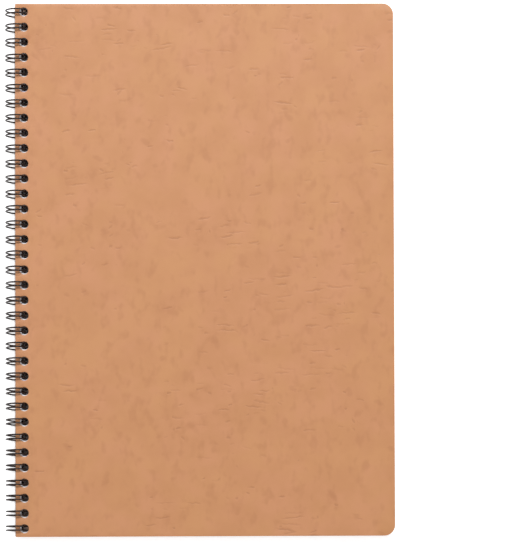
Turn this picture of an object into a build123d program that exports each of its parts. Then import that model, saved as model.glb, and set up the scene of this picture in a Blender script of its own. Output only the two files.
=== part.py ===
"""A4 wire-bound notebook: two pressboard covers and ruled leaves hung on a twin-loop wire.

It lies closed on its back cover. Millimetres, +X from the spine to the fore edge, +Y from the
foot to the head of the page, +Z up. The origin is the middle of the surface that it lies on.
"""

import os
from math import asin, cos, degrees, floor, hypot, radians, sin, sqrt

from build123d import *

os.makedirs("parts", exist_ok=True)

# Covers
COVER_WIDTH = 211.0  # spine edge to fore edge
COVER_HEIGHT = 297.0  # foot to head
COVER_THICKNESS = 0.5
CORNER_RADIUS = 6.0  # the two corners at the fore edge
SCORE_WIDTH = 0.6  # the fold line pressed into the back cover
SCORE_DEPTH = 0.12
SCORE_MARGIN = 4.0  # from the holes to the fold line

# Leaves
LEAF_COUNT = 50
LEAF_THICKNESS = 0.085
LEAF_GAP = 0.034  # air between two leaves, and between a leaf and a cover
LEAF_INSET = 0.4  # how far a leaf's free edges lie inside the covers'

# Twin-loop wire
HOLE_PITCH = 25.4 / 3  # three loops to the inch
END_MARGIN = 4.0  # least from the middle of the last hole to the cover's head or foot
WIRE_RADIUS = 0.45
PAIR_SPACING = 2.2  # between the two wires of one loop
LOOP_ROOM = 2.1  # from the covers out to the middle of the wire, at the top of a loop
ROOT_BEND = 1.0  # radius where a loop's wire turns towards the next loop
ROOT_TURN = 11.0  # degrees round the loop, from where it leaves the back cover to its root
SEAM_LENGTH = 2.2  # along a loop, from the root of its wires to the start of its tip

# How the sheets hang on the wire
LOOP_INSET = 0.6  # spine edge to the loops' common axis, over the paper
HINGE_OUTSET = 0.05  # spine edge to the line that the sheets turn about, outside the paper
HOLE_CLEARANCE = 0.12  # least air between a wire and its hole, as a sheet turns

# Heights, and the loops round the closed book
leaf_pitch = LEAF_THICKNESS + LEAF_GAP
block_thickness = LEAF_COUNT * leaf_pitch + LEAF_GAP  # from the back cover to the front cover
half_book = block_thickness / 2 + COVER_THICKNESS
loop_radius = half_book + LOOP_ROOM  # to the middle of the wire
loop_reach = loop_radius + WIRE_RADIUS - LOOP_INSET  # how far the loops stand out of the spine
spine_x = (loop_reach - COVER_WIDTH) / 2
loop_x = spine_x + LOOP_INSET
loop_z = loop_radius + WIRE_RADIUS
block_z = loop_z - block_thickness / 2

# Holes, wide enough for where the wires cross a sheet at every height and every turn. As a sheet
# turns, the loops' axis goes round its hinge line, so the wires come nearer to that line or further
hole_count = floor((COVER_HEIGHT - 2 * END_MARGIN) / HOLE_PITCH) + 1
nearest_wire = loop_radius - LOOP_INSET - HINGE_OUTSET  # straight from the hinge line
cover_reach = sqrt(nearest_wire**2 - half_book**2)  # the same, along the outside of a cover
near_crossing = cover_reach - HINGE_OUTSET  # from the spine edge
far_crossing = LOOP_INSET + loop_radius  # on the middle leaf, not turned
hole_centre = (near_crossing + far_crossing) / 2
slant = nearest_wire / cover_reach  # how much longer the wire's section is in a cover's plane
hole_radius = (
    hypot((far_crossing - near_crossing) / 2, PAIR_SPACING / 2)
    + WIRE_RADIUS * slant
    + HOLE_CLEARANCE
)


def punched_outline(inset):
    """A page standing on the spine edge, its two outer corners round, its spine edge punched."""
    with BuildSketch() as outline:
        with Locations((spine_x, 0)):
            Rectangle(
                COVER_WIDTH - inset,
                COVER_HEIGHT - 2 * inset,
                align=(Align.MIN, Align.CENTER),
            )
        fillet(outline.vertices().group_by(Axis.X)[-1], radius=CORNER_RADIUS)
        with Locations((spine_x + hole_centre, 0)):
            with GridLocations(0, HOLE_PITCH, 1, hole_count):
                Circle(hole_radius, mode=Mode.SUBTRACT)
    return outline.sketch


cover_outline = punched_outline(0)
leaf_outline = punched_outline(LEAF_INSET)

# Front cover, above the leaves
with BuildPart() as front_cover:
    with BuildSketch(Plane.XY.offset(block_z + block_thickness)):
        add(cover_outline)
    extrude(amount=COVER_THICKNESS)

# Back cover, scored underneath so that it folds clear of the loops
with BuildPart() as back_cover:
    with BuildSketch(Plane.XY.offset(block_z - COVER_THICKNESS)):
        add(cover_outline)
    extrude(amount=COVER_THICKNESS)
    with BuildSketch(Plane.XY.offset(block_z - COVER_THICKNESS)):
        with Locations((spine_x + hole_centre + hole_radius + SCORE_MARGIN, 0)):
            Rectangle(SCORE_WIDTH, COVER_HEIGHT, align=(Align.MIN, Align.CENTER))
    extrude(amount=SCORE_DEPTH, mode=Mode.SUBTRACT)

# Where a loop starts and ends, as angles up from +X round its axis
root_angle = -degrees(asin(half_book / loop_radius)) - ROOT_TURN
tip_angle = root_angle + 360 - degrees(SEAM_LENGTH / loop_radius)
far_angle = (root_angle + tip_angle) / 2


def on_loop(angle, y, along=0.0):
    """The point of a loop at this angle and this height up the page, moved along its tangent."""
    turn = radians(angle)
    return (
        loop_x + loop_radius * cos(turn) - along * sin(turn),
        y,
        loop_z + loop_radius * sin(turn) + along * cos(turn),
    )


# Wire: one length, bent into a loop at every hole. Each loop goes up through its hole, over the
# spine and round to a rounded tip, comes back beside itself, and turns off to the next loop.
half_pair = PAIR_SPACING / 2
mid_bend = ROOT_BEND * (1 - sin(radians(45)))
with BuildPart() as wire_binding:
    with BuildLine() as wire_path:
        for number in range(hole_count):
            hole_y = (number - (hole_count - 1) / 2) * HOLE_PITCH
            out_y = hole_y - half_pair
            back_y = hole_y + half_pair
            next_y = out_y + HOLE_PITCH
            ThreePointArc(
                on_loop(root_angle, out_y),
                on_loop(far_angle, out_y),
                on_loop(tip_angle, out_y),
            )
            ThreePointArc(
                on_loop(tip_angle, out_y),
                on_loop(tip_angle, hole_y, half_pair),
                on_loop(tip_angle, back_y),
            )
            ThreePointArc(
                on_loop(tip_angle, back_y),
                on_loop(far_angle, back_y),
                on_loop(root_angle, back_y),
            )
            if number < hole_count - 1:
                ThreePointArc(
                    on_loop(root_angle, back_y),
                    on_loop(root_angle, back_y + mid_bend, mid_bend - ROOT_BEND),
                    on_loop(root_angle, back_y + ROOT_BEND, -ROOT_BEND),
                )
                Line(
                    on_loop(root_angle, back_y + ROOT_BEND, -ROOT_BEND),
                    on_loop(root_angle, next_y - ROOT_BEND, -ROOT_BEND),
                )
                ThreePointArc(
                    on_loop(root_angle, next_y - ROOT_BEND, -ROOT_BEND),
                    on_loop(root_angle, next_y - mid_bend, mid_bend - ROOT_BEND),
                    on_loop(root_angle, next_y),
                )
    with BuildSketch(Plane(wire_path.line @ 0, z_dir=wire_path.line % 0)):
        Circle(WIRE_RADIUS)
    sweep()

for name, piece in (
    ("front_cover", front_cover),
    ("back_cover", back_cover),
    ("wire_binding", wire_binding),
):
    piece.part.label = name
    export_step(piece.part, f"parts/{name}.step")

# Leaves, sheet_01 under the front cover
for number in range(1, LEAF_COUNT + 1):
    leaf_z = block_z + LEAF_GAP + (LEAF_COUNT - number) * leaf_pitch
    with BuildPart() as sheet:
        with BuildSketch(Plane.XY.offset(leaf_z)):
            add(leaf_outline)
        extrude(amount=LEAF_THICKNESS)
    sheet.part.label = f"sheet_{number:02d}"
    export_step(sheet.part, f"parts/{sheet.part.label}.step")
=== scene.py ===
"""A4 wire-bound notebook with tan pressboard covers, lying closed on a pale floor.

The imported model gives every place. Each sheet and the wire are rebuilt here with their finer
shape, and every piece moves with the body of the sheet that it stands for. Metres throughout.
"""

from math import asin, cos, pi, radians, sin, tan
from random import Random

import bmesh
import bpy
from mathutils import Euler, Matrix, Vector


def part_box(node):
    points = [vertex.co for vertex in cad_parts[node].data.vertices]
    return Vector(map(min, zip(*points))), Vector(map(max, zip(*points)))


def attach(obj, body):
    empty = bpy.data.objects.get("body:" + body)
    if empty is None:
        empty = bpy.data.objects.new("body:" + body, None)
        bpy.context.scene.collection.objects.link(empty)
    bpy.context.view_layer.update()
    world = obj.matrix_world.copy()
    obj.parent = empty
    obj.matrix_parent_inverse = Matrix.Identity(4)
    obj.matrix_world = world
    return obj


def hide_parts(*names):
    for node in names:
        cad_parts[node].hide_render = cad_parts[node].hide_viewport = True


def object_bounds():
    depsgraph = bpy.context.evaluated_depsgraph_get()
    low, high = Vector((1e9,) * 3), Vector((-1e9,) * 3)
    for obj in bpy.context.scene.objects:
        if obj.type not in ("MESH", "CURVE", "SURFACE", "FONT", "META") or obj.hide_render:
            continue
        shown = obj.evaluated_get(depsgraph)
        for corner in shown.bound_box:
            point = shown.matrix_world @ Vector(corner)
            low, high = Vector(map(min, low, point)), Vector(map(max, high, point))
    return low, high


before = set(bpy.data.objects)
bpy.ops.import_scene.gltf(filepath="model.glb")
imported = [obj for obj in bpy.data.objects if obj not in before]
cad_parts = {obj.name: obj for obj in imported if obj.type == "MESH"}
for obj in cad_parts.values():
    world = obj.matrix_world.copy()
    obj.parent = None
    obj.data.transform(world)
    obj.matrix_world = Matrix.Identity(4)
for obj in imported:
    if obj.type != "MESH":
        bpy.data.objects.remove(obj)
cad_low, cad_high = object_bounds()

MM = 0.001

# Wire
PITCH = 25.4 / 3 * MM  # loop to loop
LOOPS = 35
WIRE_RADIUS = 0.45 * MM
PAIR_SPACING = 2.2 * MM
ROOT_BEND = 1.0 * MM
ROOT_TURN = radians(11)  # round the loop, from the back cover to the root of its wires
SEAM_LENGTH = 2.2 * MM
LEAN = radians(4.4)  # all the loops lean towards the head of the page
SWAY = 1.05  # how much more they lean at SWAY_MIDDLE, as a share of LEAN
SWAY_MIDDLE = -30 * MM  # up the page
SWAY_LENGTH = 300 * MM
LOW_LEAN = 0.6  # share of the lean that is left just under the loops' axis, where turned sheets hang
LEAN_FADE = 0.9 * MM  # above and below the axis, where the lean drops to that share
LEAN_RETURN = (2.8 * MM, 5.0 * MM)  # below the axis, from where to where it comes back
STRAY = 0.2 * MM  # how far one loop strays from the next, at its far side
STRAY_SEED = 4
BULGE = 1.085  # the loops' reach out of the spine, against a true circle's
LEG_STEPS, TIP_STEPS, BEND_STEPS = 56, 10, 5  # points along a loop's leg, its tip and its root bend
WIRE_SIDES = 12

# Sheets
CORNER_RADIUS = 6.0 * MM
COVER_HOLE = (4.82 * MM, 2.5 * MM)  # spine edge to the middle of a hole, and its radius
LEAF_HOLE = (5.15 * MM, 2.42 * MM)
TOP_LEAF_HOLE = (5.3 * MM, 2.28 * MM)
HOLE_SIDES = 28
CORNER_STEPS = 12
LEAF_INSET = 0.4 * MM
LEAF_RISE = 0.1 * MM  # how far the leaves hang towards the head
TOP_LEAF_RISE = 0.3 * MM
LEAF_STRAY = 0.06 * MM  # how far one leaf lies out of line with the next
LEAF_SEED = 11
LEAF_STRIPS = (14, 20)  # across and up the page
BOARD_STRIPS = (18, 26)
BOARD_EDGE = 0.11 * MM  # radius of a board's pressed and cut edges
EDGE_STEPS = 3
SHARP = 1.0  # radians between two faces, past which their edge is pressed round
EDGE_SLOPE = 0.35  # a face whose normal rises less than this is part of the cut edge
SCORE_START = 11.33 * MM  # spine edge to the fold line scored under the back cover
SCORE_WIDTH = 0.6 * MM
SCORE_DEPTH = 0.12 * MM
SCORE_STEPS = 6
WAVE = 0.22 * MM  # height of the slow waves that all the sheets share
WAVE_SLOPE = (9.0, 14.0)  # how fast the waves run across and up the page, in radians per metre
WAVE_START = 0.6
FLAT_SHARE = 0.08  # of the width, by the holes, where the sheets stay flat
SWELL_SHARE = 0.5  # of the width, over which the waves grow to their full height
CURL = 0.45 * MM  # how far the covers' outer corners lift from the leaves
CURL_START = (0.55, 0.5)  # where the lift starts, as shares of the width and of half the height
FORE_EDGE_LIFT = 0.35  # the fore edge's middle, as a share of the corners' lift

# Ruling
LINE_PITCH = 7.0 * MM
LINE_WIDTH = 0.22 * MM
HEAD_MARGIN = 24.0 * MM
FOOT_MARGIN = 17.0 * MM
LINE_STRENGTH = 0.75

# Floor and lights
FLOOR_GLOW = 0.62
GLOW_START = (-2.0 * MM, -1.0 * MM)  # from the covers' sides, where the floor starts to glow
END_ROOM = 1.5 * MM  # how much further out it starts past the head and the foot
KEY_PLACE, KEY_SIZE, KEY_POWER = (0.2, 1.25, 2.0), (1.3, 0.8), 41
FILL_PLACE, FILL_SIZE, FILL_POWER = (-0.9, 0.1, 1.4), (1.2, 1.2), 3.2
ROOM_LIGHT = 0.37

# View, all but square on to the front cover
VIEW_DISTANCE = 1.36
VIEW_WIDTH = 0.28685  # how much the picture spans at the front cover
VIEW_RIGHT = 0.1348  # spine edge to the middle of the picture
VIEW_UP = -0.00315  # middle of the cover to the middle of the picture
VIEW_RISE = 0.12  # how far the picture is shifted up the page, as a share of its width
VIEW_TILT = radians(1.0)  # towards the head
VIEW_TURN = radians(0.88)  # towards the fore edge
VIEW_ROLL = radians(0.175)  # clockwise

# Colours
TAN = ((0.602, 0.280, 0.118, 1), (0.610, 0.275, 0.129, 1))
DULL_TAN = (0.560, 0.250, 0.105, 1)
WORN_TAN = (0.490, 0.205, 0.085, 1)
SMUDGE_BROWN = (0.455, 0.185, 0.078, 1)
# painted shade: the dark line along each crease, standing in for its groove turned from the light
CREASE_SHADE_BROWN = (0.290, 0.110, 0.045, 1)
INSIDE_BROWN = ((0.400, 0.208, 0.100, 1), (0.448, 0.240, 0.120, 1))
RAW_PULP = ((0.300, 0.150, 0.078, 1), (0.560, 0.300, 0.170, 1))
PAPER_WHITE = ((0.800, 0.785, 0.815, 1), (0.830, 0.815, 0.842, 1))
RULE_LILAC = (0.360, 0.300, 0.450, 1)
WIRE_BLACK = ((0.012, 0.005, 0.003, 1), (0.024, 0.010, 0.007, 1))
FLOOR_GREY = (0.92, 0.92, 0.92, 1)
WHITE = (1, 1, 1, 1)

front_low, front_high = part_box("front_cover")
back_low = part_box("back_cover")[0]
wire_low, wire_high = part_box("wire_binding")
spine_x, fore_x = front_low.x, front_high.x
cover_width = fore_x - spine_x
cover_height = front_high.y - front_low.y
loop_z = (wire_low.z + wire_high.z) / 2
loop_radius = (wire_high.z - wire_low.z) / 2 - WIRE_RADIUS
loop_x = wire_low.x + loop_radius + WIRE_RADIUS


# Node trees

def add_node(tree, kind, **settings):
    """A node with its properties and input values set. A value that is a socket is linked."""
    node = tree.nodes.new(kind)
    for name, value in settings.items():
        if hasattr(node, name) and name not in node.inputs:
            setattr(node, name, value)
        else:
            join(tree, value, node.inputs[name])
    return node


def join(tree, value, socket):
    """Sets the socket to a value, or links it to another socket."""
    if isinstance(value, bpy.types.NodeSocket):
        tree.links.new(value, socket)
    else:
        socket.default_value = value


def maths(tree, operation, first, second=0.0):
    """A Math node's result."""
    node = tree.nodes.new("ShaderNodeMath")
    node.operation = operation
    join(tree, first, node.inputs[0])
    join(tree, second, node.inputs[1])
    return node.outputs[0]


def vector(tree, x=0.0, y=0.0, z=0.0):
    """A vector of these three values or sockets."""
    return add_node(tree, "ShaderNodeCombineXYZ", X=x, Y=y, Z=z).outputs[0]


def apart(tree, whole):
    """The X, Y and Z of a vector."""
    return add_node(tree, "ShaderNodeSeparateXYZ", Vector=whole).outputs


def position(tree):
    """The X, Y and Z of each point of the geometry."""
    return apart(tree, tree.nodes.new("GeometryNodeInputPosition").outputs[0])


def row_of_points(tree, count, pitch, x=0.0):
    """Points up the page at this pitch, evenly about its middle."""
    span = maths(tree, "MULTIPLY", pitch, maths(tree, "SUBTRACT", count, 1.0))
    start = vector(tree, x=x, y=maths(tree, "MULTIPLY", span, -0.5))
    row = add_node(tree, "GeometryNodeMeshLine", Count=count)
    join(tree, start, row.inputs["Start Location"])
    join(tree, vector(tree, y=pitch), row.inputs["Offset"])
    return row.outputs[0]


def geometry_tree(name, sizes):
    """A Geometry Nodes tree with these named inputs, {name: socket type}, and its input node."""
    tree = bpy.data.node_groups.new(name, "GeometryNodeTree")
    tree.interface.new_socket("Geometry", in_out="INPUT", socket_type="NodeSocketGeometry")
    for size, kind in sizes.items():
        tree.interface.new_socket(size, in_out="INPUT", socket_type=kind)
    tree.interface.new_socket("Geometry", in_out="OUTPUT", socket_type="NodeSocketGeometry")
    return tree, tree.nodes.new("NodeGroupInput").outputs


def finish_tree(tree, geometry, material):
    """Realize Instances, Set Material and the output."""
    real = add_node(tree, "GeometryNodeRealizeInstances", Geometry=geometry)
    painted = add_node(
        tree, "GeometryNodeSetMaterial", Geometry=real.outputs[0], Material=material
    )
    tree.links.new(painted.outputs[0], tree.nodes.new("NodeGroupOutput").inputs[0])


def grown(name, tree, sizes, base=None):
    """A plain mesh, as the tree makes it from the base mesh with these sizes."""
    maker = bpy.data.objects.new(name, base or bpy.data.meshes.new(name + "_base"))
    bpy.context.scene.collection.objects.link(maker)
    modifier = maker.modifiers.new("Grow", "NODES")
    modifier.node_group = tree
    for item in tree.interface.items_tree:
        if item.in_out == "INPUT" and item.name in sizes:
            modifier[item.identifier] = sizes[item.name]
    graph = bpy.context.evaluated_depsgraph_get()
    mesh = bpy.data.meshes.new_from_object(maker.evaluated_get(graph), depsgraph=graph)
    mesh.name = name
    maker.modifiers.remove(modifier)
    bpy.data.objects.remove(maker)
    paint(mesh, sizes["Material"])
    return mesh


def paint(mesh, *surfaces):
    """Gives the mesh these materials only, the first of them on every face."""
    mesh.materials.clear()
    for surface in surfaces:
        mesh.materials.append(surface)
    for face in mesh.polygons:
        face.material_index = 0


def placed(name, mesh, body, node):
    """An object of this mesh that moves with the body and stands for the node."""
    piece = bpy.data.objects.new(name, mesh)
    bpy.context.scene.collection.objects.link(piece)
    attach(piece, body)
    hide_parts(node)


# Materials

def material(name, **values):
    """A material, its node tree, its object coordinates and its Principled BSDF."""
    made = bpy.data.materials.new(name)
    made.use_nodes = True
    tree = made.node_tree
    shader = tree.nodes["Principled BSDF"]
    for socket, value in values.items():
        shader.inputs[socket.replace("_", " ")].default_value = value
    coordinates = tree.nodes.new("ShaderNodeTexCoord").outputs["Object"]
    return made, tree, coordinates, shader


def shader_group(name, inputs, outputs):
    """A shader node group with these sockets, {name: socket type}, and its two end nodes' sockets."""
    tree = bpy.data.node_groups.new(name, "ShaderNodeTree")
    for socket, kind in inputs.items():
        tree.interface.new_socket(socket, in_out="INPUT", socket_type=kind)
    for socket, kind in outputs.items():
        tree.interface.new_socket(socket, in_out="OUTPUT", socket_type=kind)
    return tree, tree.nodes.new("NodeGroupInput").outputs, tree.nodes.new("NodeGroupOutput").inputs


def use_group(tree, group, **values):
    """The outputs of the group, placed in this tree with its own values."""
    node = tree.nodes.new("ShaderNodeGroup")
    node.node_tree = group
    for socket, value in values.items():
        join(tree, value, node.inputs[socket.replace("_", " ")])
    return node.outputs


def stretched(tree, coordinates, x, y, z):
    """The coordinates, scaled along each axis."""
    return add_node(tree, "ShaderNodeMapping", Vector=coordinates, Scale=(x, y, z)).outputs[0]


def noise(tree, coordinates, scale, detail=2.0, roughness=0.5):
    """A soft random value from 0 to 1 that changes over the surface."""
    return add_node(
        tree,
        "ShaderNodeTexNoise",
        Vector=coordinates,
        Scale=scale,
        Detail=detail,
        Roughness=roughness,
    ).outputs[0]


def mapped(tree, value, low, high, to_low=0.0, to_high=1.0):
    """to_low where the value is low or less, to_high where it is high or more, and eased between."""
    node = tree.nodes.new("ShaderNodeMapRange")
    node.interpolation_type = "SMOOTHSTEP"
    for socket, number in zip(node.inputs, (value, low, high, to_low, to_high)):
        join(tree, number, socket)
    return node.outputs[0]


def mixed(tree, share, first, second):
    """A colour between the first and the second."""
    node = tree.nodes.new("ShaderNodeMix")
    node.data_type = "RGBA"
    join(tree, share, node.inputs[0])
    join(tree, first, node.inputs[6])
    join(tree, second, node.inputs[7])
    return node.outputs[2]


def emboss(tree, shader, height, strength, depth):
    """Presses this height into the shader's surface."""
    bump = add_node(tree, "ShaderNodeBump", Strength=strength, Distance=depth, Height=height)
    tree.links.new(bump.outputs[0], shader.inputs["Normal"])


def fibre_group():
    """Fine fibres of pulp, running across the page: a mask of tone and a height."""
    tree, given, out = shader_group(
        "Pulp fibres",
        {"Vector": "NodeSocketVector", "Fineness": "NodeSocketFloat"},
        {"Tone": "NodeSocketFloat", "Height": "NodeSocketFloat"},
    )
    along = stretched(tree, given["Vector"], 0.35, 1.0, 1.0)
    fine = noise(tree, along, given["Fineness"], 3.0, 0.6)
    cloud = noise(tree, given["Vector"], maths(tree, "MULTIPLY", given["Fineness"], 0.12), 2.0)
    tree.links.new(mapped(tree, cloud, 0.3, 0.7), out["Tone"])
    tree.links.new(fine, out["Height"])
    return tree


def stroke_group():
    """Short strokes in some cells of a random grid, each with its own length, slope and force."""
    tree, given, out = shader_group(
        "Scattered strokes",
        {
            "Vector": "NodeSocketVector",
            "Cell Length": "NodeSocketFloat",
            "Cell Height": "NodeSocketFloat",
            "Share": "NodeSocketFloat",
            "Half Width": "NodeSocketFloat",
            "Slope": "NodeSocketFloat",
        },
        {"Tone": "NodeSocketFloat", "Bed": "NodeSocketFloat"},
    )
    bend = noise(tree, given["Vector"], 260.0, 2.0, 0.6)
    drift = maths(tree, "MULTIPLY", maths(tree, "SUBTRACT", bend, 0.5), 2.4 * MM)
    place = apart(tree, given["Vector"])
    across = maths(tree, "DIVIDE", place["X"], given["Cell Length"])
    up = maths(tree, "DIVIDE", maths(tree, "ADD", place["Y"], drift), given["Cell Height"])
    cells = add_node(
        tree, "ShaderNodeTexVoronoi", voronoi_dimensions="2D", Vector=vector(tree, across, up)
    )
    cells.inputs["Scale"].default_value = 1.0
    cells.inputs["Randomness"].default_value = 0.8
    middle = apart(tree, cells.outputs["Position"])
    chance = add_node(tree, "ShaderNodeSeparateColor", Color=cells.outputs["Color"]).outputs
    x = maths(tree, "MULTIPLY", maths(tree, "SUBTRACT", across, middle["X"]), given["Cell Length"])
    y = maths(tree, "MULTIPLY", maths(tree, "SUBTRACT", up, middle["Y"]), given["Cell Height"])
    lean = maths(tree, "MULTIPLY", maths(tree, "SUBTRACT", chance["Green"], 0.5), given["Slope"])
    off = maths(tree, "ABSOLUTE", maths(tree, "SUBTRACT", y, maths(tree, "MULTIPLY", x, lean)))
    half_length = mapped(tree, chance["Blue"], 0, 1, 0.1, 0.45)  # as a share of a cell
    reach = maths(tree, "MULTIPLY", given["Cell Length"], half_length)
    along = maths(tree, "DIVIDE", maths(tree, "ABSOLUTE", x), reach)
    taper = mapped(tree, along, 0.35, 1.0, 1.0, 0.0)
    width = maths(tree, "MULTIPLY", given["Half Width"], maths(tree, "ADD", taper, 0.3))
    away = maths(tree, "DIVIDE", off, width)
    there = maths(tree, "LESS_THAN", chance["Red"], given["Share"])
    luck = maths(tree, "FRACT", maths(tree, "MULTIPLY", chance["Green"], 7.0))
    pressed = maths(tree, "MULTIPLY", there, taper)
    force = maths(tree, "MULTIPLY", pressed, mapped(tree, luck, 0, 1, 0.3, 1.0))
    for name, spread in (("Tone", 1.0), ("Bed", 1.8)):  # the dent is wider than its dark line
        body = mapped(tree, away, 0.15 * spread, spread, 1.0, 0.0)
        tree.links.new(maths(tree, "MULTIPLY", force, body), out[name])
    return tree


def crease_group():
    """Creases pressed across the board in loose crowds, their tone a mask for painted shade along each
    crease, and soft upright smudges.
    """
    tree, given, out = shader_group(
        "Pressed creases",
        {"Vector": "NodeSocketVector"},
        {"Tone": "NodeSocketFloat", "Bed": "NodeSocketFloat", "Smudge": "NodeSocketFloat"},
    )
    loose = mapped(tree, noise(tree, given["Vector"], 38.0, 2.0), 0.48, 0.62, 0.08, 1.0)
    flattened = stretched(tree, given["Vector"], 0.5, 1.5, 1.0)
    dense = mapped(tree, noise(tree, flattened, 34.0, 1.0), 0.60, 0.70)
    kinds = (
        # crowd, length and height of a cell in mm, share with a crease, half width in mm, slope, depth
        (loose, 15.0, 4.5, 0.26, 0.50, 0.30, 1.0),
        (loose, 9.0, 5.0, 0.16, 0.46, 0.70, 0.8),
        (loose, 5.0, 5.0, 0.08, 0.70, 1.60, 0.7),
        (dense, 17.0, 3.0, 0.62, 0.42, 0.40, 0.9),
    )
    tone, bed = 0.0, 0.0
    for number, (crowd, length, height, share, half_width, slope, depth) in enumerate(kinds):
        moved = add_node(
            tree, "ShaderNodeMapping", Vector=given["Vector"], Location=(0.37 * number, 0.11, 0.0)
        ).outputs[0]
        strokes = use_group(
            tree,
            STROKES,
            Vector=moved,
            Cell_Length=length * MM,
            Cell_Height=height * MM,
            Share=maths(tree, "MULTIPLY", crowd, share),
            Half_Width=half_width * MM,
            Slope=slope,
        )
        tone = maths(tree, "MAXIMUM", tone, maths(tree, "MULTIPLY", strokes["Tone"], depth))
        bed = maths(tree, "MAXIMUM", bed, maths(tree, "MULTIPLY", strokes["Bed"], depth))
    upright = add_node(
        tree, "ShaderNodeMapping", Vector=given["Vector"], Rotation=(0.0, 0.0, radians(70))
    ).outputs[0]
    smudges = use_group(
        tree,
        STROKES,
        Vector=upright,
        Cell_Length=13 * MM,
        Cell_Height=10 * MM,
        Share=maths(tree, "MULTIPLY", loose, 0.45),
        Half_Width=1.9 * MM,
        Slope=1.2,
    )
    tree.links.new(tone, out["Tone"])
    tree.links.new(bed, out["Bed"])
    tree.links.new(smudges["Tone"], out["Smudge"])
    return tree


FIBRES = fibre_group()
STROKES = stroke_group()
CREASES = crease_group()


def board_face():
    """The covers' outside: soft blotches of tan, pressed creases with painted shade along their lines,
    smudges and a faint sheen.
    """
    made, tree, place, shader = material("Tan pressboard", Specular_IOR_Level=0.5)
    fibres = use_group(tree, FIBRES, Vector=place, Fineness=900.0)
    creases = use_group(tree, CREASES, Vector=place)
    warm = mapped(tree, noise(tree, place, 42.0, 2.0, 0.55), 0.35, 0.65)
    small = mapped(tree, noise(tree, place, 70.0, 2.0, 0.55), 0.32, 0.70)
    narrowed = stretched(tree, place, 1.25, 0.85, 1.0)
    dapple = mapped(tree, noise(tree, narrowed, 165.0, 1.5), 0.50, 0.78)
    ground = mixed(tree, warm, *TAN)
    dull = mixed(tree, maths(tree, "MULTIPLY", small, 0.7), ground, DULL_TAN)
    worn = mixed(tree, maths(tree, "MULTIPLY", dapple, 0.46), dull, WORN_TAN)
    smudged = mixed(tree, maths(tree, "MULTIPLY", creases["Smudge"], 0.34), worn, SMUDGE_BROWN)
    # painted shade: darkens each crease's line, standing in for its groove turned from the light
    crease_shaded = mixed(tree, maths(tree, "MULTIPLY", creases["Tone"], 0.36), smudged, CREASE_SHADE_BROWN)
    tree.links.new(crease_shaded, shader.inputs["Base Color"])
    rough = maths(tree, "ADD", maths(tree, "MULTIPLY", small, 0.03), 0.495)
    tree.links.new(rough, shader.inputs["Roughness"])
    grain = maths(tree, "MULTIPLY", fibres["Height"], 0.14)
    relief = maths(tree, "SUBTRACT", grain, creases["Bed"])
    emboss(tree, shader, relief, 0.5, 0.14 * MM)
    return made


def board_inside():
    """The covers' inside: plain, darker and matt, with the board's fibres showing."""
    made, tree, place, shader = material("Plain board", Specular_IOR_Level=0.25)
    fibres = use_group(tree, FIBRES, Vector=place, Fineness=700.0)
    tree.links.new(mixed(tree, fibres["Tone"], *INSIDE_BROWN), shader.inputs["Base Color"])
    rough = maths(tree, "ADD", maths(tree, "MULTIPLY", fibres["Tone"], 0.08), 0.66)
    tree.links.new(rough, shader.inputs["Roughness"])
    emboss(tree, shader, fibres["Height"], 0.25, 0.05 * MM)
    return made


def board_edge():
    """The covers' cut edges: raw pressed pulp in fine layers."""
    made, tree, place, shader = material("Cut board", Specular_IOR_Level=0.2)
    layers = noise(tree, stretched(tree, place, 60.0, 60.0, 9000.0), 1.0, 2.0)
    tree.links.new(mixed(tree, layers, *RAW_PULP), shader.inputs["Base Color"])
    tree.links.new(mapped(tree, layers, 0.2, 0.8, 0.7, 0.9), shader.inputs["Roughness"])
    return made


def paper():
    """White writing paper with pale lilac-grey rules that run out to the fore edge."""
    made, tree, place, shader = material("Ruled paper", Specular_IOR_Level=0.2)
    fibres = use_group(tree, FIBRES, Vector=place, Fineness=1600.0)
    sheet = mixed(tree, fibres["Tone"], *PAPER_WHITE)
    up = apart(tree, place)["Y"]
    first = -cover_height / 2 + FOOT_MARGIN
    last = cover_height / 2 - HEAD_MARGIN
    step = maths(tree, "DIVIDE", maths(tree, "SUBTRACT", up, first), LINE_PITCH)
    turn = maths(tree, "FRACT", maths(tree, "ADD", step, 0.5))
    nearness = maths(tree, "ABSOLUTE", maths(tree, "SUBTRACT", turn, 0.5))
    width = LINE_WIDTH / LINE_PITCH
    line = mapped(tree, nearness, width / 2, width, 1.0, 0.0)
    above = maths(tree, "GREATER_THAN", up, first - LINE_PITCH / 2)
    inside = maths(tree, "MULTIPLY", above, maths(tree, "LESS_THAN", up, last))
    ink = maths(tree, "MULTIPLY", maths(tree, "MULTIPLY", line, inside), LINE_STRENGTH)
    tree.links.new(mixed(tree, ink, sheet, RULE_LILAC), shader.inputs["Base Color"])
    tree.links.new(mapped(tree, fibres["Tone"], 0.0, 1.0, 0.72, 0.8), shader.inputs["Roughness"])
    emboss(tree, shader, fibres["Height"], 0.12, 0.02 * MM)
    return made


def coated_wire():
    """Steel wire in a black-brown nylon coat, faintly uneven and rubbed."""
    made, tree, place, shader = material("Coated wire", Specular_IOR_Level=0.32)
    uneven = noise(tree, place, 900.0, 2.0)
    colour = mixed(tree, mapped(tree, uneven, 0.3, 0.7), *WIRE_BLACK)
    tree.links.new(colour, shader.inputs["Base Color"])
    tree.links.new(mapped(tree, uneven, 0.3, 0.7, 0.26, 0.40), shader.inputs["Roughness"])
    emboss(tree, shader, uneven, 0.15, 0.02 * MM)
    return made


FACE = board_face()
INSIDE = board_inside()
EDGE = board_edge()
PAPER = paper()
WIRE = coated_wire()


# Wire

def on_loop(angle, y, along=0.0):
    """The point of a loop at this angle up from +X round its axis, moved along its tangent."""
    out = loop_radius * cos(angle) - along * sin(angle)
    return Vector((
        loop_x + out * (BULGE if out < 0 else 1),
        y,
        loop_z + loop_radius * sin(angle) + along * cos(angle),
    ))


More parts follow.
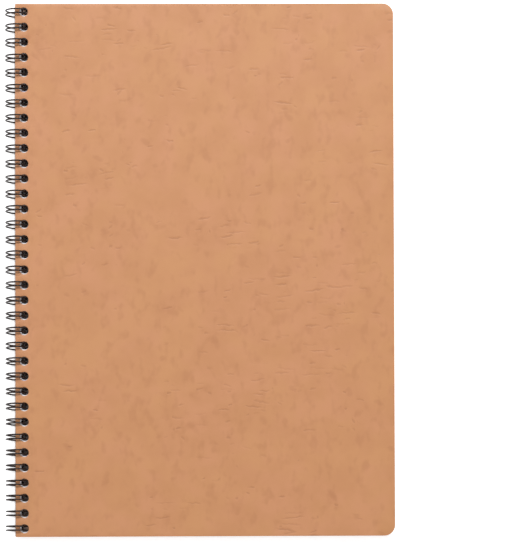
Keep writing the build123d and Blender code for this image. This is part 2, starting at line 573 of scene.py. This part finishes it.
def loop_path():
    """One loop about y = 0, from halfway to the loop before it to halfway to the next."""
    half_book = (front_high.z - back_low.z) / 2
    root = -asin(half_book / loop_radius) - ROOT_TURN
    tip = root + 2 * pi - SEAM_LENGTH / loop_radius
    half = PAIR_SPACING / 2
    path = [on_loop(root, -PITCH / 2, -ROOT_BEND)]
    for step in range(BEND_STEPS + 1):
        turn = pi / 2 * step / BEND_STEPS
        y = -half - ROOT_BEND + ROOT_BEND * sin(turn)
        path.append(on_loop(root, y, -ROOT_BEND * cos(turn)))
    for step in range(1, LEG_STEPS + 1):
        path.append(on_loop(root + (tip - root) * step / LEG_STEPS, -half))
    leg = path[:]
    for step in range(1, TIP_STEPS):
        turn = pi * step / TIP_STEPS
        path.append(on_loop(tip, -half * cos(turn), half * sin(turn)))
    return path + [Vector((p.x, -p.y, p.z)) for p in reversed(leg)]


def wire_base():
    """The path of one loop as a mesh of edges. Its far share is 0 at the root, 1 over the spine."""
    path = loop_path()
    mesh = bpy.data.meshes.new("loop_path")
    mesh.from_pydata(path, [(n, n + 1) for n in range(len(path) - 1)], [])
    far = mesh.attributes.new("far", "FLOAT", "POINT")
    root = path[0] - Vector((loop_x, 0, loop_z))
    for number, point in enumerate(path):
        arm = point - Vector((loop_x, 0, loop_z))
        arm.y = 0
        turned = arm.normalized().dot(Vector((root.x, 0, root.z)).normalized())
        far.data[number].value = (1 - turned) / 2
    return mesh


def lean_offset(tree, given):
    """How far the lean carries each point of the loops towards the head, from its height."""
    place = position(tree)
    rise = maths(tree, "SUBTRACT", place["Z"], given["Axis Height"])
    past = maths(tree, "SUBTRACT", place["Y"], given["Sway Middle"])
    turn = maths(tree, "MULTIPLY", maths(tree, "DIVIDE", past, given["Sway Length"]), 2 * pi)
    hump = maths(tree, "ADD", maths(tree, "MULTIPLY", maths(tree, "COSINE", turn), 0.5), 0.5)
    sway = maths(tree, "ADD", maths(tree, "MULTIPLY", hump, given["Sway"]), 1.0)
    fade, low = given["Lean Fade"], given["Low Lean"]
    above = mapped(tree, rise, maths(tree, "MULTIPLY", fade, -1.0), fade, low, 1.0)
    fall = maths(tree, "MULTIPLY", rise, -1.0)
    below = mapped(tree, fall, given["Return Start"], given["Return End"], low, 1.0)
    share = maths(tree, "MAXIMUM", above, below)
    lean = maths(tree, "MULTIPLY", given["Lean"], sway)
    return maths(tree, "MULTIPLY", maths(tree, "MULTIPLY", rise, share), lean)


def wire_tree():
    """Repeats one loop's path at every hole, lets each stray a little, and wraps it in wire."""
    tree, given = geometry_tree(
        "Twin loops",
        {
            "Loops": "NodeSocketInt",
            "Pitch": "NodeSocketFloat",
            "Wire Radius": "NodeSocketFloat",
            "Lean": "NodeSocketFloat",
            "Sway": "NodeSocketFloat",
            "Sway Middle": "NodeSocketFloat",
            "Sway Length": "NodeSocketFloat",
            "Low Lean": "NodeSocketFloat",
            "Lean Fade": "NodeSocketFloat",
            "Return Start": "NodeSocketFloat",
            "Return End": "NodeSocketFloat",
            "Axis Height": "NodeSocketFloat",
            "Stray": "NodeSocketFloat",
            "Seed": "NodeSocketInt",
            "Material": "NodeSocketMaterial",
        },
    )
    points = row_of_points(tree, given["Loops"], given["Pitch"])
    astray = add_node(tree, "FunctionNodeRandomValue", data_type="FLOAT")
    join(tree, maths(tree, "MULTIPLY", given["Stray"], -1.0), astray.inputs[2])
    join(tree, given["Stray"], astray.inputs[3])
    join(tree, given["Seed"], astray.inputs["Seed"])
    marked = add_node(tree, "GeometryNodeStoreNamedAttribute", data_type="FLOAT", domain="POINT")
    join(tree, points, marked.inputs["Geometry"])
    marked.inputs["Name"].default_value = "stray"
    join(tree, astray.outputs[1], marked.inputs["Value"])
    loops = add_node(
        tree, "GeometryNodeInstanceOnPoints", Points=marked.outputs[0], Instance=given["Geometry"]
    )
    real = add_node(tree, "GeometryNodeRealizeInstances", Geometry=loops.outputs[0])
    far = add_node(tree, "GeometryNodeInputNamedAttribute", data_type="FLOAT", Name="far")
    stray = add_node(tree, "GeometryNodeInputNamedAttribute", data_type="FLOAT", Name="stray")
    strayed = maths(tree, "MULTIPLY", far.outputs[0], stray.outputs[0])
    moved = maths(tree, "ADD", lean_offset(tree, given), strayed)
    set_off = add_node(
        tree, "GeometryNodeSetPosition", Geometry=real.outputs[0], Offset=vector(tree, y=moved)
    )
    merged = add_node(
        tree, "GeometryNodeMergeByDistance", Geometry=set_off.outputs[0], Distance=1e-5
    )
    line = add_node(tree, "GeometryNodeMeshToCurve", Mesh=merged.outputs[0])
    ring = add_node(
        tree, "GeometryNodeCurvePrimitiveCircle", Resolution=WIRE_SIDES, Radius=given["Wire Radius"]
    )
    tube = add_node(tree, "GeometryNodeCurveToMesh", Curve=line.outputs[0])
    join(tree, ring.outputs[0], tube.inputs["Profile Curve"])
    tube.inputs["Fill Caps"].default_value = True
    smooth = add_node(tree, "GeometryNodeSetShadeSmooth", Geometry=tube.outputs[0])
    finish_tree(tree, smooth.outputs[0], given["Material"])
    return tree


def make_wire():
    """The whole wire in one piece, fixed to the back cover's body."""
    mesh = grown(
        "twin_loop_wire",
        wire_tree(),
        {
            "Loops": LOOPS,
            "Pitch": PITCH,
            "Wire Radius": WIRE_RADIUS,
            "Lean": tan(LEAN),
            "Sway": SWAY,
            "Sway Middle": SWAY_MIDDLE,
            "Sway Length": SWAY_LENGTH,
            "Low Lean": LOW_LEAN,
            "Lean Fade": LEAN_FADE,
            "Return Start": LEAN_RETURN[0],
            "Return End": LEAN_RETURN[1],
            "Axis Height": loop_z,
            "Stray": STRAY,
            "Seed": STRAY_SEED,
            "Material": WIRE,
        },
        wire_base(),
    )
    placed("twin_loop_wire", mesh, "back_cover", "wire_binding")


# Sheets

def sheet_tree():
    """A punched sheet on z = 0, its spine edge on x = 0, with its two outer corners round."""
    tree, given = geometry_tree(
        "Punched sheet",
        {
            "Width": "NodeSocketFloat",
            "Height": "NodeSocketFloat",
            "Thickness": "NodeSocketFloat",
            "Corner Radius": "NodeSocketFloat",
            "Hole Radius": "NodeSocketFloat",
            "Hole Centre": "NodeSocketFloat",
            "Pitch": "NodeSocketFloat",
            "Holes": "NodeSocketInt",
            "Material": "NodeSocketMaterial",
        },
    )
    page = add_node(
        tree,
        "GeometryNodeCurvePrimitiveQuadrilateral",
        Width=given["Width"],
        Height=given["Height"],
    )
    outer = maths(tree, "GREATER_THAN", position(tree)["X"], 0.0)
    rounded = add_node(
        tree, "GeometryNodeFilletCurve", mode="POLY", Curve=page.outputs[0], Count=CORNER_STEPS
    )
    join(tree, maths(tree, "MULTIPLY", outer, given["Corner Radius"]), rounded.inputs["Radius"])
    stood = add_node(tree, "GeometryNodeTransform", Geometry=rounded.outputs[0])
    half_width = maths(tree, "MULTIPLY", given["Width"], 0.5)
    join(tree, vector(tree, x=half_width), stood.inputs["Translation"])
    points = row_of_points(tree, given["Holes"], given["Pitch"], given["Hole Centre"])
    hole = add_node(
        tree, "GeometryNodeCurvePrimitiveCircle", Resolution=HOLE_SIDES, Radius=given["Hole Radius"]
    )
    holes = add_node(
        tree, "GeometryNodeInstanceOnPoints", Points=points, Instance=hole.outputs[0]
    )
    punched = add_node(tree, "GeometryNodeRealizeInstances", Geometry=holes.outputs[0])
    both = tree.nodes.new("GeometryNodeJoinGeometry")
    tree.links.new(stood.outputs[0], both.inputs[0])
    tree.links.new(punched.outputs[0], both.inputs[0])
    flat = add_node(tree, "GeometryNodeFillCurve", mode="TRIANGLES", Curve=both.outputs[0])
    thick = add_node(tree, "GeometryNodeExtrudeMesh", Mesh=flat.outputs[0])
    join(tree, (0.0, 0.0, 1.0), thick.inputs["Offset"])
    join(tree, given["Thickness"], thick.inputs["Offset Scale"])
    thick.inputs["Individual"].default_value = False
    under = add_node(tree, "GeometryNodeFlipFaces", Mesh=flat.outputs[0])
    closed = tree.nodes.new("GeometryNodeJoinGeometry")
    tree.links.new(thick.outputs[0], closed.inputs[0])
    tree.links.new(under.outputs[0], closed.inputs[0])
    whole = add_node(
        tree, "GeometryNodeMergeByDistance", Geometry=closed.outputs[0], Distance=1e-6
    )
    finish_tree(tree, whole.outputs[0], given["Material"])
    return tree


SHEET = sheet_tree()


def sheet_mesh(name, inset, thickness, hole, surface):
    """A flat punched sheet, its free edges this far inside the covers'."""
    return grown(
        name,
        SHEET,
        {
            "Width": cover_width - inset,
            "Height": cover_height - 2 * inset,
            "Thickness": thickness,
            "Corner Radius": CORNER_RADIUS,
            "Hole Centre": hole[0],
            "Hole Radius": hole[1],
            "Pitch": PITCH,
            "Holes": LOOPS,
            "Material": surface,
        },
    )


def cut_across(shape, place, normal):
    """Cuts every face that this plane crosses."""
    everything = shape.verts[:] + shape.edges[:] + shape.faces[:]
    bmesh.ops.bisect_plane(shape, geom=everything, plane_co=place, plane_no=normal)


def cut_in_strips(shape, across, up):
    """Cuts the sheet's large faces on a grid, so that it can bend."""
    for number in range(1, across):
        cut_across(shape, (cover_width * number / across, 0, 0), (1, 0, 0))
    for number in range(1, up):
        cut_across(shape, (0, cover_height * (number / up - 0.5), 0), (0, 1, 0))


def wave(x, y):
    """The slow wave that every sheet shares, flat along the holes. x is from the spine edge."""
    free = min(max((x / cover_width - FLAT_SHARE) / SWELL_SHARE, 0.0), 1.0)
    swell = 0.5 + 0.5 * sin(y * WAVE_SLOPE[1] + x * WAVE_SLOPE[0] + WAVE_START)
    return WAVE * free * swell * free


def corner_lift(x, y):
    """How far a cover's outer corners stand off the leaves."""
    out = max(x / cover_width - CURL_START[0], 0.0) / (1 - CURL_START[0])
    end = max(abs(y) / (cover_height / 2) - CURL_START[1], 0.0) / (1 - CURL_START[1])
    return CURL * out**2 * (FORE_EDGE_LIFT + (1 - FORE_EDGE_LIFT) * end**2)


def press_fold_line(shape):
    """Presses the scored fold line up into the underside, a shallow round channel."""
    for number in range(SCORE_STEPS + 1):
        at = SCORE_START + SCORE_WIDTH * number / SCORE_STEPS
        cut_across(shape, (at, 0, 0), (1, 0, 0))
    for vertex in shape.verts:
        across = (vertex.co.x - SCORE_START) / SCORE_WIDTH
        if 0 < across < 1:
            vertex.co.z = max(vertex.co.z, SCORE_DEPTH * sin(pi * across))


def side_of_board(face, facing):
    """The number of the face's material: 0 outside, 1 inside, 2 on the cut edges."""
    outward = face.normal.z * facing
    if abs(outward) < EDGE_SLOPE:
        return 2
    return 0 if outward > 0 else 1


def make_cover(name, node, facing):
    """A board with pressed edges. facing is 1 where its outside is on top and -1 where it is under."""
    low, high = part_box(node)
    mesh = sheet_mesh(name, 0.0, high.z - low.z, COVER_HOLE, FACE)
    paint(mesh, FACE, INSIDE, EDGE)
    shape = bmesh.new()
    shape.from_mesh(mesh)
    rim = [e for e in shape.edges if len(e.link_faces) == 2 and e.calc_face_angle() > SHARP]
    bmesh.ops.bevel(
        shape, geom=rim, offset=BOARD_EDGE, segments=EDGE_STEPS, affect="EDGES", profile=0.5
    )
    cut_in_strips(shape, *BOARD_STRIPS)
    shape.normal_update()
    for face in shape.faces:
        face.material_index = side_of_board(face, facing)
        face.smooth = True
    if facing < 0:
        press_fold_line(shape)
    for vertex in shape.verts:
        x, y = vertex.co.x, vertex.co.y
        lift = wave(x, y) + facing * corner_lift(x, y)
        vertex.co = Vector((spine_x + x, y, low.z + vertex.co.z + lift))
    shape.to_mesh(mesh)
    shape.free()
    placed(name, mesh, node, node)


def leaf_pattern(thickness, hole):
    """A flat leaf in strips that are narrow enough to follow the waves."""
    pattern = sheet_mesh("leaf", LEAF_INSET, thickness, hole, PAPER)
    shape = bmesh.new()
    shape.from_mesh(pattern)
    cut_in_strips(shape, *LEAF_STRIPS)
    shape.to_mesh(pattern)
    shape.free()
    return pattern


def make_leaves():
    """Every leaf, each lying a hair out of line with the next. The top one's holes are narrower."""
    nodes = sorted(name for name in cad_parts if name.startswith("sheet_"))
    low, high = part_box(nodes[0])
    top_pattern = leaf_pattern(high.z - low.z, TOP_LEAF_HOLE)
    pattern = leaf_pattern(high.z - low.z, LEAF_HOLE)
    chance = Random(LEAF_SEED)
    for node in nodes:
        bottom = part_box(node)[0].z
        top = node == nodes[0]
        mesh = (top_pattern if top else pattern).copy()
        mesh.name = "leaf_" + node[-2:]
        aside = chance.uniform(-LEAF_STRAY, LEAF_STRAY)
        along = chance.uniform(-LEAF_STRAY, LEAF_STRAY) + (TOP_LEAF_RISE if top else LEAF_RISE)
        for vertex in mesh.vertices:
            at = vertex.co
            height = bottom + at.z + wave(at.x, at.y)
            vertex.co = (spine_x + at.x + aside, at.y + along, height)
        placed(mesh.name, mesh, node, node)
    bpy.data.meshes.remove(pattern)
    bpy.data.meshes.remove(top_pattern)


# Floor, lights and camera

def make_stage():
    """A pale floor that glows, but not under the book or behind its holes."""
    bpy.ops.mesh.primitive_plane_add(size=8, location=(0, 0, cad_low.z - 0.2 * MM))
    floor = bpy.context.object
    floor.name = "floor"
    made, tree, place, shader = material("Pale floor", Roughness=0.9, Specular_IOR_Level=0.1)
    shader.inputs["Base Color"].default_value = FLOOR_GREY
    shader.inputs["Emission Color"].default_value = WHITE
    spot = apart(tree, place)
    beside = maths(tree, "SUBTRACT", maths(tree, "ABSOLUTE", spot["X"]), cover_width / 2)
    book_end = cover_height / 2 + END_ROOM
    beyond = maths(tree, "SUBTRACT", maths(tree, "ABSOLUTE", spot["Y"]), book_end)
    clear = maths(tree, "MAXIMUM", beside, beyond)
    glow = mapped(tree, clear, *GLOW_START, 0.0, FLOOR_GLOW)
    tree.links.new(glow, shader.inputs["Emission Strength"])
    floor.data.materials.append(made)


def soft_light(name, place, size, power):
    """A rectangular lamp aimed at the origin. Its size is in metres and its power in watts."""
    lamp = bpy.data.lights.new(name, "AREA")
    lamp.shape = "RECTANGLE"
    lamp.size, lamp.size_y = size
    lamp.energy = power
    light = bpy.data.objects.new(name, lamp)
    light.location = place
    light.rotation_euler = (-Vector(place)).to_track_quat("-Z", "Y").to_euler()
    bpy.context.scene.collection.objects.link(light)


def make_lights():
    """A key light from beyond the head of the page, a weak one at the spine, and a white room."""
    soft_light("key", KEY_PLACE, KEY_SIZE, KEY_POWER)
    soft_light("fill", FILL_PLACE, FILL_SIZE, FILL_POWER)
    world = bpy.data.worlds.new("studio")
    world.use_nodes = True
    background = world.node_tree.nodes["Background"]
    background.inputs["Color"].default_value = WHITE
    background.inputs["Strength"].default_value = ROOM_LIGHT
    bpy.context.scene.world = world
    bpy.context.scene.view_settings.view_transform = "Standard"


def make_camera():
    """Looks down on the front cover through a long lens, shifted up the page."""
    lens = bpy.data.cameras.new("camera")
    lens.sensor_fit = "HORIZONTAL"
    lens.sensor_width = 36
    lens.lens = lens.sensor_width * VIEW_DISTANCE / VIEW_WIDTH
    lens.shift_y = VIEW_RISE
    lens.clip_start, lens.clip_end = 0.05, 20
    camera = bpy.data.objects.new("camera", lens)
    camera.rotation_euler = Euler((VIEW_TILT, -VIEW_TURN, -VIEW_ROLL))
    ray = Vector((0, VIEW_RISE * VIEW_WIDTH / VIEW_DISTANCE, -1))  # through the picture's middle
    ray.rotate(camera.rotation_euler)
    aim = Vector((spine_x + VIEW_RIGHT, VIEW_UP, front_high.z))
    camera.location = aim + ray * (VIEW_DISTANCE / ray.z)
    bpy.context.scene.collection.objects.link(camera)
    bpy.context.scene.camera = camera


make_wire()
make_cover("front_board", "front_cover", 1)
make_cover("back_board", "back_cover", -1)
make_leaves()
make_stage()
make_lights()
make_camera()
